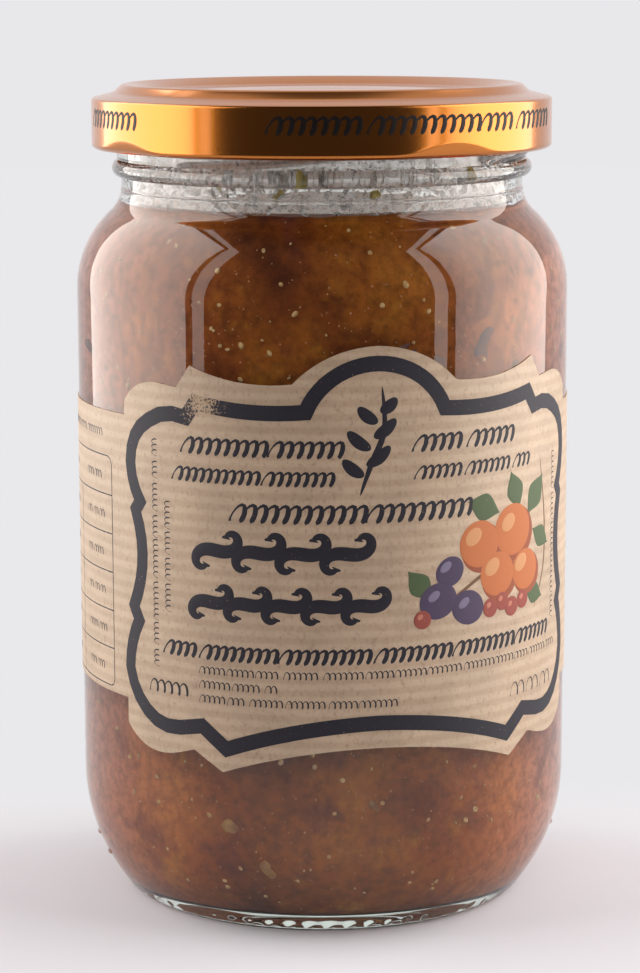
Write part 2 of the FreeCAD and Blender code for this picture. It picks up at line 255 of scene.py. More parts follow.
def kraft_tone(tree):
    """Brown kraft with faint ribs across, light and dark fibres and a slight cloudiness."""
    ribs = add(tree, "ShaderNodeTexWave",
               {"Vector": places(tree), "Distortion": 0.6, "Scale": WAVE_LENGTH * per(1.8),
                "Detail": 1.0}, wave_type="BANDS", bands_direction="Z")
    tone = add(tree, "ShaderNodeValToRGB", {"Fac": ribs.outputs["Fac"]},
               ((0.2, "#b2977b"), (0.8, "#bca286")))
    hairs = add(tree, "ShaderNodeTexNoise",
                {"Vector": places(tree, (1, 1, 0.7)), "Scale": per(0.5), "Detail": 4.0,
                 "Roughness": 0.75})
    fibres = add(tree, "ShaderNodeValToRGB", {"Fac": hairs},
                 ((0.33, "#a89078"), (0.45, "#f4f4f4"), (0.66, "#ffffff")))
    patch = add(tree, "ShaderNodeTexNoise",
                {"Vector": places(tree), "Scale": per(7), "Detail": 3.0})
    cloudy = add(tree, "ShaderNodeValToRGB", {"Fac": patch}, ((0.35, "#efefef"), (0.65, "#ffffff")))
    for share, over in ((0.5, fibres), (1.0, cloudy)):
        tone = add(tree, "ShaderNodeMix",
                   {FACTOR: share, FIRST: tone, SECOND: over},
                   data_type="RGBA", blend_type="MULTIPLY").outputs[MIXED]
    return tone


def kraft_paper():
    """Ribbed kraft paper, rolled smooth on its face: brown, with a soft sheen in raking light."""
    material = new_material("kraft_paper")
    tree = material.node_tree
    grain = add(tree, "ShaderNodeTexNoise",
                {"Vector": places(tree), "Scale": per(0.3), "Detail": 3.0})
    bump = add(tree, "ShaderNodeBump", {"Height": grain, "Strength": 0.25, "Distance": 0.05 * MM})
    return surfaced(material, {"Base Color": kraft_tone(tree), "Roughness": 0.46,
                               "Specular IOR Level": 0.7, "Normal": bump})


def printing_ink(name, hex_code, worn_place=None):
    """Offset ink on rough paper: even colour that lets a fibre through here and there, and is
    rubbed away round one worn place."""
    material = new_material(name)
    tree = material.node_tree
    bare = add(tree, "ShaderNodeTexNoise",
               {"Vector": places(tree), "Scale": per(0.35), "Detail": 4.0, "Roughness": 0.75})
    if worn_place:
        gap = add(tree, "ShaderNodeVectorMath",
                  {0: places(tree, centre=worn_place)}, operation="LENGTH").outputs["Value"]
        near = add(tree, "ShaderNodeMapRange",
                   {"Value": gap, "From Min": 0.0, "From Max": 5 * MM, "To Min": 0.3,
                    "To Max": 0.0})
        bare = add(tree, "ShaderNodeMath", {0: bare, 1: near}, operation="ADD")
    share = add(tree, "ShaderNodeValToRGB", {"Fac": bare}, ((0.66, "#000000"), (0.72, "#ffffff")))
    tone = add(tree, "ShaderNodeMix",
               {FACTOR: share, FIRST: colour(hex_code), SECOND: kraft_tone(tree)},
               data_type="RGBA").outputs[MIXED]
    return surfaced(material, {"Base Color": tone, "Roughness": 0.55, "Specular IOR Level": 0.3})


# ---------------- pieces

SHARP = math.radians(50)        # a sharper edge than this shows as one


def piece(name, bm, material, slot, *nodes, shadow=True):
    """The finished mesh as an object of the jar, riding on its one body in place of some nodes."""
    bmesh.ops.scale(bm, vec=(MM, MM, MM), verts=bm.verts)
    for face in bm.faces:
        face.smooth = True
    for edge in bm.edges:
        edge.smooth = edge.calc_face_angle(0) < SHARP
    mesh = bpy.data.meshes.new(name)
    bm.to_mesh(mesh)
    bm.free()
    mesh.materials.append(material)
    made = bpy.data.objects.new(name, mesh)
    made.visible_shadow = shadow
    bpy.context.scene.collection.objects.link(made)
    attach(made, "root")
    if nodes:
        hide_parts(*nodes)


def arc(radius, height, round_off, start, end, steps):
    """Points of an arc about (radius, height), from one angle in degrees to another."""
    angles = [math.radians(start + (end - start) * step / steps) for step in range(steps + 1)]
    return [(radius + round_off * math.cos(a), height + round_off * math.sin(a)) for a in angles]


def rows(radius, low, high, steps):
    """Points straight up or down a wall."""
    return [(radius, low + (high - low) * step / steps) for step in range(steps + 1)]


def turned(profile, steps=SPOKES):
    """The closed skin that a (radius, height) profile makes when it is spun round the axis."""
    bm = bmesh.new()
    corners = [bm.verts.new((max(radius, 0), 0, height)) for radius, height in profile]
    edges = [bm.edges.new(pair) for pair in zip(corners, corners[1:])]
    if profile[0][0] > 0:
        edges.append(bm.edges.new((corners[-1], corners[0])))
    bmesh.ops.spin(bm, geom=corners + edges, cent=(0, 0, 0), axis=(0, 0, 1),
                   angle=math.tau, steps=steps, use_merge=True)
    bmesh.ops.remove_doubles(bm, verts=bm.verts, dist=1e-4)
    bmesh.ops.recalc_face_normals(bm, faces=bm.faces)
    return bm


def bearing_of(point):
    return math.degrees(math.atan2(point.x, -point.y))


def swell(bm, chosen, amount):
    """Moves the chosen vertices away from the axis by an amount that depends on the vertex."""
    for vert in bm.verts:
        if chosen(vert.co):
            outwards = Vector((vert.co.x, vert.co.y, 0)).normalized()
            vert.co += outwards * amount(vert.co)


def hump(distance, half_width):
    """1 in the middle of a rounded ridge, falling to 0 at its foot."""
    share = min(abs(distance) / half_width, 1)
    return (1 - share * share) ** 2


def inside_profile(grow):
    """The cavity's wall from the middle of its floor up to the neck, moved out by some millimetres."""
    convex = SHOULDER_RADIUS - WALL + grow
    concave = NECK_FILLET + WALL - grow
    middle = BODY_RADIUS - SHOULDER_RADIUS
    turn = math.degrees(SHOULDER_TURN)
    foot = CAVITY_RADIUS - FLOOR_ROUND
    return ([(0, CAVITY_FLOOR - grow)]
            + arc(foot, CAVITY_FLOOR + FLOOR_ROUND, FLOOR_ROUND + grow, -90, 0, 16)
            + arc(middle, SHOULDER_HEIGHT, convex, 0, turn, 14)
            + arc(NECK_RADIUS + NECK_FILLET, NECK_FOOT, concave, 180 + turn, 180, 12)[1:])


# ---------------- glass


def glass_profile():
    turn, heel = math.degrees(SHOULDER_TURN), math.degrees(HEEL_TURN)
    bead = GLASS_TOP - BEAD_DROP
    bead_end = math.degrees(math.acos((FINISH_RADIUS - NECK_RADIUS) / BEAD_ROUND))
    foot = BODY_RADIUS - FOOT_INSET
    outside = (
        [(0, PUNT_RISE), (foot * 0.5, PUNT_RISE * 0.75), (foot - BEARING_WIDTH, 0)]
        + arc(foot, FOOT_ROUND, FOOT_ROUND, -90, -heel, 10)
        + arc(BODY_RADIUS - HEEL_RADIUS, HEEL_HEIGHT, HEEL_RADIUS, -heel, 0, 20)[1:]
        + arc(BODY_RADIUS - SHOULDER_RADIUS, SHOULDER_HEIGHT, SHOULDER_RADIUS, 0, turn, 18)
        + arc(NECK_RADIUS + NECK_FILLET, NECK_FOOT, NECK_FILLET, 180 + turn, 189, 14)[1:]
        + [(NECK_RADIUS + SEAM_REACH, NECK_FOOT - SEAM_DROP)]
        + arc(NECK_RADIUS + NECK_FILLET, NECK_FOOT, NECK_FILLET, 185, 180, 3)
        + arc(NECK_RADIUS, bead, BEAD_ROUND, -90, bead_end, 16)
        + rows(FINISH_RADIUS, bead + BEAD_ROUND + 0.03, GLASS_TOP - LIP_ROUND, 36)
        + arc(FINISH_RADIUS - LIP_ROUND, GLASS_TOP - LIP_ROUND, LIP_ROUND, 0, 90, 6)[1:])
    lip = arc(BORE_RADIUS + LIP_ROUND, GLASS_TOP - LIP_ROUND, LIP_ROUND, 90, 180, 6)
    return outside + lip + inside_profile(0)[::-1]


def thread_at(point):
    """How far a thread stands out at a point of the finish."""
    standing = 0
    for number in range(THREADS):
        past = (bearing_of(point) - THREAD_FIRST - number * 360 / THREADS + 180) % 360 - 180
        past -= THREAD_SWEEP / 2
        share = max(-1, min(1, past / (THREAD_SWEEP / 2)))
        beyond = (abs(past) - THREAD_SWEEP / 2) * math.radians(1) * FINISH_RADIUS
        low = GLASS_TOP - THREAD_DROP
        middle = low + THREAD_CLIMB / 2 * (1 + math.sin(share * math.pi / 2))
        distance = math.hypot(point.z - middle, max(beyond, 0))
        runout = 1 - 0.7 * abs(share) ** 8
        standing = max(standing, hump(distance, THREAD_HALF_WIDTH) * runout)
    return standing * THREAD_REACH


def knurl_at(point):
    """How far a knurl of the bearing ring stands out: an oval, leaning a little."""
    step = 360 / KNURLS
    across = ((bearing_of(point) - point.z * KNURL_LEAN + step / 2) % step) / step * 2 - 1
    up = (point.z - KNURL_HEIGHT) / KNURL_HALF_HEIGHT
    return KNURL_REACH * hump(math.hypot(across / KNURL_SHARE, up), 1)


def on_finish(point):
    return (FINISH_RADIUS - 0.1 < math.hypot(point.x, point.y)
            and GLASS_TOP - BEAD_DROP + 1 < point.z < GLASS_TOP - LIP_ROUND - 0.2)


def on_bearing_ring(point):
    return math.hypot(point.x, point.y) > BODY_RADIUS - FOOT_INSET - 0.5 and point.z < 2.2


def make_glass(glass):
    """The jar itself. Lamps reach its filling, as they do through clear glass."""
    bm = turned(glass_profile())
    swell(bm, on_finish, thread_at)
    swell(bm, on_bearing_ring, knurl_at)
    piece("glass_body", bm, glass, "glass", "glass_jar", shadow=False)


MOULD_DOTS = [(-78.5, 8.2), (-72.7, 6.1), (83.0, 8.7), (168.0, 8.2), (174.0, 7.4)]
DOT_RADIUS, DOT_SINK = 0.5, 0.25


def make_mould_dots(glass):
    """The code dots that the mould leaves on the heel, at their bearings and heights."""
    bm = bmesh.new()
    for bearing, height in MOULD_DOTS:
        turn = math.radians(bearing)
        radius = (BODY_RADIUS - HEEL_RADIUS - DOT_SINK
                  + math.sqrt(HEEL_RADIUS ** 2 - (HEEL_HEIGHT - height) ** 2))
        place = Vector((radius * math.sin(turn), -radius * math.cos(turn), height))
        bmesh.ops.create_icosphere(bm, subdivisions=3, radius=DOT_RADIUS,
                                   matrix=Matrix.Translation(place))
    piece("mould_dots", bm, glass, "glass", shadow=False)


# ---------------- jam

INTO_WALL = 0.25                # the filling reaches this far into the glass, so no air shows
FLOOR_POINTS, FLOOR_GAP = 4, 0.06    # out to this point its underside only rests on the glass


def make_jam():
    """The jam's body, and its top, which is wavy and climbs a little at the wall."""
    resting, sunk = inside_profile(-FLOOR_GAP), inside_profile(INTO_WALL)
    profile = resting[:FLOOR_POINTS] + sunk[FLOOR_POINTS:]
    profile = [point for point in profile if point[1] < FILL_LEVEL - 0.6]
    wall = rows(CAVITY_RADIUS + INTO_WALL, CAVITY_FLOOR + FLOOR_ROUND, SHOULDER_HEIGHT, 64)
    low = [point for point in profile if point[1] < wall[0][1]]
    high = [point for point in profile if point[1] > wall[-1][1]]
    edge = high[-1][0]
    cover = [(edge, FILL_LEVEL), (edge - 0.6, FILL_LEVEL + 0.25), (edge - 1.6, FILL_LEVEL - 0.1)]
    cover += [(edge * share, FILL_LEVEL - 0.5) for share in
              (0.88, 0.8, 0.72, 0.64, 0.56, 0.48, 0.4, 0.3, 0.2, 0.1, 0)]
    bm = turned(low + wall + high + cover, 320)
    for vert in bm.verts:
        if vert.co.z > FILL_LEVEL - 1:
            vert.co.z += 0.3 * noise.noise(vert.co * 0.16) + 0.25 * noise.noise(vert.co * 0.5)
        elif vert.co.z > CAVITY_FLOOR + 4:
            vert.co -= vert.co.normalized() * 0.08 * noise.noise(vert.co * 0.6)
    piece("jam_body", bm, fruit_jam(), "jam", "jam")


def wall_place(low, high, depth):
    """A random place under the glass between two heights, and the wall's outward direction there."""
    height = draw.uniform(low, high)
    profile = inside_profile(0)
    radius = BORE_RADIUS if height > NECK_FOOT else CAVITY_RADIUS
    outwards_tilt = 0
    for (r0, z0), (r1, z1) in zip(profile, profile[1:]):
        if z0 <= height <= z1 and z1 > z0:
            radius = r0 + (r1 - r0) * (height - z0) / (z1 - z0)
            outwards_tilt = math.atan2(r0 - r1, z1 - z0)
            break
    turn = draw.uniform(0, math.tau)
    outwards = Vector((math.cos(turn) * math.cos(outwards_tilt),
                       math.sin(turn) * math.cos(outwards_tilt), math.sin(outwards_tilt)))
    place = Vector((radius * math.cos(turn), radius * math.sin(turn), height))
    return place - outwards * depth, outwards


def lying(outwards):
    """A turn that lays a flat thing against the wall, any way round."""
    side = Vector((draw.uniform(-1, 1), draw.uniform(-1, 1), draw.uniform(-1, 1)))
    across = outwards.cross(side).normalized()
    return Matrix((across, outwards.cross(across), outwards)).transposed().to_4x4()


def scattered(count, sizes, shape, depths, heights, roundness, rough=0.0):
    """Many small bodies against the glass. Sizes are their radii, shape their three proportions,
    and rough how far their skin wanders, as a share of their size."""
    ball = bmesh.new()
    bmesh.ops.create_icosphere(ball, subdivisions=roundness, radius=1)
    corners = [vert.co.copy() for vert in ball.verts]
    faces = [[vert.index for vert in face.verts] for face in ball.faces]
    ball.free()
    all_corners, all_faces = [], []
    for _ in range(count):
        place, outwards = wall_place(*heights, draw.uniform(*depths))
        size = draw.uniform(*sizes)
        stretch = Matrix.Diagonal([size * part * draw.uniform(0.8, 1.2) for part in shape] + [1])
        matrix = Matrix.Translation(place) @ lying(outwards) @ stretch
        first = len(all_corners)
        all_faces += [[first + index for index in face] for face in faces]
        for corner in corners:
            point = matrix @ corner
            if rough:
                point += noise.noise_vector(point / size * 0.9) * size * rough
            all_corners.append(point)
    heap = bpy.data.meshes.new("heap")
    heap.from_pydata(all_corners, [], all_faces)
    bm = bmesh.new()
    bm.from_mesh(heap)
    bpy.data.meshes.remove(heap)
    return bm


def make_bits():
    """What is boiled into the jam and lies against the glass."""
    wall = (CAVITY_FLOOR + 1, FILL_LEVEL - 0.8)
    # hard fig seeds: straw coloured, with a little gloss
    piece("fig_seeds", scattered(760, (0.14, 0.48), (1, 0.8, 0.6), (-0.34, -0.14), wall, 2),
          mottled("fig_seed", "#d2b27a", "#a88046", 0.6, 0.35), "jam")
    # shreds of boiled pulp: dull and a little lighter than the jam
    piece("pulp_specks", scattered(3200, (0.07, 0.17), (1, 0.9, 0.6), (-0.32, -0.22), wall, 1),
          mottled("pulp_speck", "#b88654", "#885a30", 0.5, 0.5), "jam")
    # peel candied by the sugar: amber, going darker inside
    piece("peel_bits", scattered(54, (0.6, 1.3), (1.4, 0.8, 0.3), (-0.12, 0.02), wall, 3, 0.3),
          mottled("candied_peel", "#9c7030", "#784c1c", 2.0, 0.4), "jam")
    # cooked fig skin: dark red brown, with a wet gloss
    piece("fruit_skins", scattered(22, (1.0, 2.2), (1.3, 0.8, 0.2), (-0.08, 0.06), wall, 3, 0.3),
          mottled("fig_skin", "#6e4030", "#4a2822", 3.0, 0.4), "jam")


# bearing, height and size of each splash of fruit on the neck
SPLASHES = [(-6, 105.3, 1.1), (-12.5, 102.7, 0.9), (47.5, 104.6, 1.0), (15, 102.6, 0.8),
            (-31, 103.6, 0.6), (128, 104.2, 1.0), (201, 103.1, 1.2), (259, 105.0, 0.9)]
FILM_GAP, FILM_DEPTH = 0.03, 0.06


def make_neck_traces():
    """Steam has settled on the bare inside of the neck, and splashes of fruit have dried there."""
    water = condensed_water()
    foot = FILL_LEVEL + 0.5
    piece("steam_drops", scattered(5200, (0.06, 0.22), (1.5, 0.9, 0.5), (-0.02, 0.05),
                                   (foot, GLASS_TOP - 5), 1, 0.2), water, "glass", shadow=False)
    piece("steam_beads", scattered(1900, (0.16, 0.42), (1.5, 0.8, 0.45), (-0.02, 0.06),
                                   (foot, NECK_FOOT + 3.5), 2, 0.25), water, "glass", shadow=False)
    wall = [(r, z) for r, z in inside_profile(-FILM_GAP) if z > foot + 0.1]
    wall.append((BORE_RADIUS - FILM_GAP, GLASS_TOP - 3))
    film = turned(wall + [(r - FILM_DEPTH, z) for r, z in wall[::-1]], 264)
    piece("steam_film", film, settled_steam(), "glass", shadow=False)
    bm = bmesh.new()
    for bearing, height, size in SPLASHES:
        turn = math.radians(bearing)
        outwards = Vector((math.sin(turn), -math.cos(turn), 0))
        matrix = (Matrix.Translation(outwards * (BORE_RADIUS - 0.1) + Vector((0, 0, height)))
                  @ lying(outwards) @ Matrix.Diagonal((size, size * 0.6, 0.4, 1)))
        made = bmesh.ops.create_icosphere(bm, subdivisions=3, radius=1, matrix=matrix)
        for vert in made["verts"]:
            vert.co += noise.noise_vector(vert.co * 1.1) * 0.5
    # fruit juice dried on glass: olive yellow, still sticky enough to shine
    piece("splashes", bm, mottled("dried_splash", "#b3a45c", "#8a7440", 1.2, 0.35), "jam")


# ---------------- lid

SHEET, HEM_ROUND = 0.3, 0.75
BUTTON_RADIUS, BUTTON_SINK = 14.2, 0.4
RECESS_RADIUS, RECESS_DEPTH = 24.0, 1.25
RIM_RADIUS, RIM_ROUND = 27.9, 1.3
CORNER_ROUND, CORNER_DROP = 0.52, 2.38
LUG_TOP = 2.3                   # how far above the hem's foot the skirt is pressed in at most
LUGS, LUG_FIRST, LUG_HALF_SWEEP, LUG_RISE, LUG_PRESS = 4, 33.5, 17.0, 1.7, 0.32


def lid_profile():
    """The lid's sheet, from the middle of its button over the rim and round the hem, and back."""
    skirt, top = SKIRT_RADIUS, LID_TOP
    floor = top - RECESS_DEPTH
    face = ([(0, floor - BUTTON_SINK), (10, floor - 0.38), (13.4, floor - 0.12)]
            + [(BUTTON_RADIUS, floor), (RECESS_RADIUS, floor), (24.7, floor + 0.06)]
            + [(25.3, floor + 0.28), (26.6, top - 0.32)]
            + arc(RIM_RADIUS, top - RIM_ROUND, RIM_ROUND, 118, 52, 7)
            + [(29.5, top - 1.05), (29.95, top - 1.25), (30.6, top - 1.43)]
            + [(31.4, top - 1.62), (31.9, top - 1.78)]
            + arc(skirt - CORNER_ROUND, top - CORNER_DROP, CORNER_ROUND, 66, 0, 6)
            + rows(skirt, top - 2.6, LID_LOW + LUG_TOP + 0.1, 12)
            + rows(skirt, LID_LOW + LUG_TOP, LID_LOW + HEM_ROUND, 10))
    hem = arc(skirt - HEM_ROUND, LID_LOW + HEM_ROUND, HEM_ROUND, 0, -270, 22)[1:]
    inner = [(skirt - SHEET, LID_LOW + 2.2), (skirt - SHEET, top - 2.5),
             (30.2, top - 1.75), (28.6, top - 0.75), (27.2, top - 0.6),
             (24.6, floor - SHEET), (0, floor - SHEET - BUTTON_SINK)]
    return face + hem + inner


def lug_at(point):
    """How far above the hem a lug's press reaches at a point."""
    nearest = min(abs((bearing_of(point) - LUG_FIRST - number * 360 / LUGS + 180) % 360 - 180)
                  for number in range(LUGS))
    return LUG_RISE * hump(nearest, LUG_HALF_SWEEP)


def make_lid():
    """The lid, its skirt pressed in over the hem at each lug."""
    bm = turned(lid_profile(), 384)
    for vert in bm.verts:
        point = vert.co
        radius = math.hypot(point.x, point.y)
        if point.z > LID_LOW + LUG_TOP + 0.1 or radius < SKIRT_RADIUS - 1:
            continue
        pushed = max(LID_LOW + HEM_ROUND * 0.6 + lug_at(point) - point.z, 0)
        shrink = 1 - LUG_PRESS * pushed ** 1.2 / radius
        vert.co = Vector((point.x * shrink, point.y * shrink, point.z))
    piece("lid_shell", bm, lacquered_tinplate(), "lid_metal", "lid")


# ---------------- print
#
# Print is drawn flat: x to the right from the middle of the front panel, y up from the table,
# and a third measure for how proud it stands. Then it is bent round the jar.

LABEL_MIDDLE = 12.0             # bearing of the front panel's middle
PAPER_DEPTH, INK_DEPTH, BORDER_WIDTH = 0.15, 0.03, 2.1
PAPER_RADIUS = BODY_RADIUS + PAPER_DEPTH
STROKE_LIFT, STROKE_FLATNESS = 0.01, 0.06
SCROLL_TILT, SCROLL_WEIGHT, SCROLL_TURNS, SCROLL_PITCH = -8, 0.95, 1.5, 0.92


def bend(bm, radius=PAPER_RADIUS, bearing=LABEL_MIDDLE):
    """Wraps a flat drawing round the jar, with its middle at a bearing."""
    for vert in bm.verts:
        x, y, proud = vert.co
        turn = math.radians(bearing) + x / radius
        vert.co = ((radius + proud) * math.sin(turn), -(radius + proud) * math.cos(turn), y)
    return bm


def bowed(start, end, sag, step=2.0):
    """Points from start up to end, bowed to the left of the way by a sag."""
    (x0, y0), (x1, y1) = start, end
    length = math.hypot(x1 - x0, y1 - y0)
    count = max(1, round(length / step))
    left = ((y0 - y1) / length, (x1 - x0) / length)
    points = []
    for number in range(count):
        t = number / count
        rise = 4 * sag * t * (1 - t)
        points.append((x0 + (x1 - x0) * t + left[0] * rise,
                       y0 + (y1 - y0) * t + left[1] * rise))
    return points


# right half of the border's middle line, from the arch over the top clockwise to the foot,
# each corner with the sag of the stretch that follows it
BORDER = [((0, 80.95), 0.0), ((9.7, 74.5), -0.55), ((25.3, 75.3), 0.0), ((26.9, 73.1), 0.75),
          ((33.4, 72.2), 1.1), ((37.3, 66.0), 0.45), ((35.3, 60.7), 0.0), ((36.3, 59.4), -1.6),
          ((36.9, 45.8), 0.0), ((35.8, 43.9), 0.5), ((37.9, 37.0), 0.6), ((34.4, 31.4), 0.7),
          ((28.4, 29.8), 0.0), ((24.7, 30.5), 0.0), ((21.0, 27.6), -0.95), ((0, 31.7), 0.0)]
ARCH_RADIUS = 10.55


def border_line():
    """The border's middle line all round, clockwise."""
    arch = [(ARCH_RADIUS * math.sin(math.radians(a)),
             BORDER[0][0][1] - ARCH_RADIUS + ARCH_RADIUS * math.cos(math.radians(a)))
            for a in range(0, 66, 6)]
    right = arch[:]
    for (start, sag), (end, _) in zip(BORDER[1:], BORDER[2:]):
        right += bowed(start, end, sag)
    return right + [BORDER[-1][0]] + [(-x, y) for x, y in right[:0:-1]]


def beside(line, distance):
    """The closed line moved to its left, with its corners kept sharp."""
    moved = []
    for number, (x, y) in enumerate(line):
        before, after = line[number - 1], line[(number + 1) % len(line)]
        one = Vector((before[1] - y, x - before[0])).normalized()
        two = Vector((y - after[1], after[0] - x)).normalized()
        middle = (one + two).normalized()
        longer = min(1 / max(middle.dot(one), 0.1), 1.9)
        moved.append((x + middle.x * distance * longer, y + middle.y * distance * longer))
    return moved


def loop_edges(bm, line):
    corners = [bm.verts.new((x, y, 0)) for x, y in line]
    return [bm.edges.new((corners[n - 1], corners[n])) for n in range(len(corners))]


def thickened(bm):
    """Gives flat faces a back, so that each field of ink is closed."""
    made = bmesh.ops.extrude_face_region(bm, geom=list(bm.faces), use_keep_orig=True)
    for part in made["geom"]:
        if isinstance(part, bmesh.types.BMVert):
            part.co.z += INK_DEPTH
    bmesh.ops.recalc_face_normals(bm, faces=bm.faces)
    return bm


def make_border(ink):
    bm = bmesh.new()
    line = border_line()
    outer = loop_edges(bm, beside(line, BORDER_WIDTH / 2))
    inner = loop_edges(bm, beside(line, -BORDER_WIDTH / 2))
    bmesh.ops.bridge_loops(bm, edges=outer + inner)
    # cut fine enough to follow the jar's curve
    bmesh.ops.subdivide_edges(bm, edges=bm.edges, cuts=3, use_grid_fill=True)
    piece("label_border", bend(thickened(bm)), ink, "label_paper")


def drawn(strokes, radius=PAPER_RADIUS, bearing=LABEL_MIDDLE):
    """Pen strokes, each a list of (x, y, half width), as flat ribbons bent round the jar."""
    curve = bpy.data.curves.new("strokes", "CURVE")
    curve.dimensions = "3D"
    curve.bevel_depth = 1.0
    curve.bevel_resolution = 1
    curve.use_fill_caps = True
    for stroke in strokes:
        spline = curve.splines.new("POLY")
        spline.points.add(len(stroke) - 1)
        for point, (x, y, half) in zip(spline.points, stroke):
            point.co = (x, y, 0, 1)
            point.radius = half
    holder = bpy.data.objects.new("strokes", curve)
    mesh = bpy.data.meshes.new_from_object(holder)
    bm = bmesh.new()
    bm.from_mesh(mesh)
    bpy.data.objects.remove(holder)
    bpy.data.curves.remove(curve)
    bpy.data.meshes.remove(mesh)
    for vert in bm.verts:
        vert.co.z = vert.co.z * STROKE_FLATNESS + STROKE_LIFT
    bmesh.ops.remove_doubles(bm, verts=bm.verts, dist=1e-4)
    bmesh.ops.recalc_face_normals(bm, faces=bm.faces)
    return bend(bm, radius, bearing)


def waves(start, end, height, tall, weight, slant, pitch, word, upright=False):
    """A line of pen loops in groups as long as a word, thin going up and thick going down.
    Each loop is tall and a pitch wide, and weight is half a stroke's width."""
    strokes = []
    at = start
    while at < end - pitch:
        stop = min(at + word * draw.uniform(0.45, 1.15), end)
        humps = max(2, round((stop - at) / pitch))
        stroke = []
        for step in range(humps * 12 + 1):
            phase = step / 12
            swing = -math.cos(math.tau * phase)
            rise = tall * swing / 2
            loop = 0.2 * tall * math.sin(math.tau * phase)
            falling = 0.5 - 0.5 * math.sin(math.tau * phase)
            stroke.append((at + phase * pitch - loop + slant * rise, height + rise,
                           weight * (0.3 + 0.7 * falling)))
        strokes.append(stroke)
        at = stop + pitch * 0.8
    if upright:
        strokes = [[(2 * height - y, x, half) for x, y, half in stroke] for stroke in strokes]
    return strokes


def scroll(centre, size):
    """An S scroll that winds up at both ends, thick in its middle, with a bud at each end."""
    steps = 72
    x = y = 0.0
    way = []
    for step in range(steps + 1):
        s = step / steps * 2 - 1
        heading = SCROLL_TURNS * math.pi * s * s
        x += math.cos(heading) * 2 / steps
        y += math.sin(heading) * 2 / steps
        way.append((x, y, s))
    middle = way[steps // 2]
    across, up = math.cos(math.radians(SCROLL_TILT)), math.sin(math.radians(SCROLL_TILT))
    stroke = []
    for x, y, s in way:
        x, y = (x - middle[0]) * size, (y - middle[1]) * size
        half = SCROLL_WEIGHT * (0.28 + 0.72 * (1 - s * s) + (0.35 if abs(s) > 0.96 else 0))
        stroke.append((centre[0] + x * across - y * up, centre[1] + x * up + y * across, half))
    return stroke


def swell_stroke(points, weight):
    """A smooth stroke through a few points, pointed at both ends."""
    stroke = []
    count = 12 * (len(points) - 1)
    for step in range(count + 1):
        t = step / count * (len(points) - 1)
        part = min(int(t), len(points) - 2)
        u = t - part
        p0 = points[max(part - 1, 0)]
        p1, p2 = points[part], points[part + 1]
        p3 = points[min(part + 2, len(points) - 1)]
        spot = [0.5 * (2 * b + (c - a) * u + (2 * a - 5 * b + 4 * c - d) * u * u
                       + (3 * b - a - 3 * c + d) * u ** 3) for a, b, c, d in zip(p0, p1, p2, p3)]
        half = weight * max(math.sin(math.pi * step / count) ** 0.6, 0.12)
        stroke.append((spot[0], spot[1], half))
    return stroke


def title_strokes():
    """The large ornament in the middle: two bands of running scrolls."""
    return [scroll((first + number * size * SCROLL_PITCH, height), size)
            for first, count, height, size in ((-22.2, 4, 55.2, 6.6), (-23.2, 5, 48.0, 5.9))
            for number in range(count)]


# rows of pen loops where a label carries its lines of print, each as waves() takes it
PRINT_ROWS = [
    (-27.2, -4.8, 69.4, 2.1, 0.34, 0.45, 1.35, 12), (5.4, 21.7, 69.9, 2.1, 0.34, 0.45, 1.35, 8),
    (-28.8, -6.2, 65.4, 1.8, 0.30, 0.45, 1.15, 12), (5.6, 25.4, 65.9, 1.7, 0.27, 0.45, 1.1, 8),
    (-19.7, 16.4, 60.6, 2.3, 0.37, 0.45, 1.5, 17), (-30.6, 31.8, 41.0, 1.9, 0.33, 0.45, 1.2, 11),
    (-25.0, 34.0, 38.4, 1.0, 0.11, 0.1, 0.75, 5), (-25.0, -13.5, 36.4, 1.0, 0.11, 0.1, 0.75, 5),
    (-25.0, 3.4, 34.4, 1.0, 0.11, 0.1, 0.75, 5), (-33.6, -27.4, 35.2, 1.7, 0.2, 0.1, 1.3, 8),
    (22.0, 33.5, 33.6, 1.9, 0.12, 0.1, 1.5, 2.6)]
UPRIGHT_ROWS = [(38, 70, -32.4), (46, 62, -30.2), (42, 66, 33.3)]
LID_ROWS = [(-7.0, 42.0), (-44.0, -27.0)]


def small_print():
    """The rows of pen loops on the front panel."""
    strokes = []
    for row in PRINT_ROWS:
        strokes += waves(*row)
    for low, high, x in UPRIGHT_ROWS:
        strokes += waves(low, high, x, 0.9, 0.1, 0.1, 0.75, 5, upright=True)
    return strokes


def side_table():
    """The ruled table on the label's left side and the block of print on its right."""
    left, column, right, low, high = -74.0, -54.0, -42.0, 33.2, 66.0
    row_height = (high - low) / 6
    rules = [[(left, low), (left, high)], [(right, low + 1), (right, high - 1.2)],
             [(right, high - 1.2), (right - 0.35, high - 0.35), (right - 1.2, high)],
             [(right, low + 1), (right - 0.3, low + 0.3), (right - 1, low)],
             [(column, low), (column, high - 5.4)]]
    strokes = []
    for number in range(7):
        y = high - number * row_height
        end = right if 0 < number < 6 else right - 1.1
        rules.append([(left + (end - left) * n / 24, y) for n in range(25)])
        if number:
            strokes += waves(-72.5, -58.0, y + 2.6, 1.0, 0.12, 0.1, 0.8, 7)
            strokes += waves(-50.5, -44.5, y + 2.6, 1.0, 0.12, 0.1, 0.8, 3)
    strokes += waves(-70, -45, 69.2, 1.0, 0.12, 0.1, 0.8, 7)
    for row in range(11):
        strokes += waves(45.0, 74.0 - draw.uniform(0, 8), 64.5 - row * 2.9, 1.1, 0.12, 0.1, 0.8, 6)
    return strokes + [[(x, y, 0.09) for x, y in rule] for rule in rules]


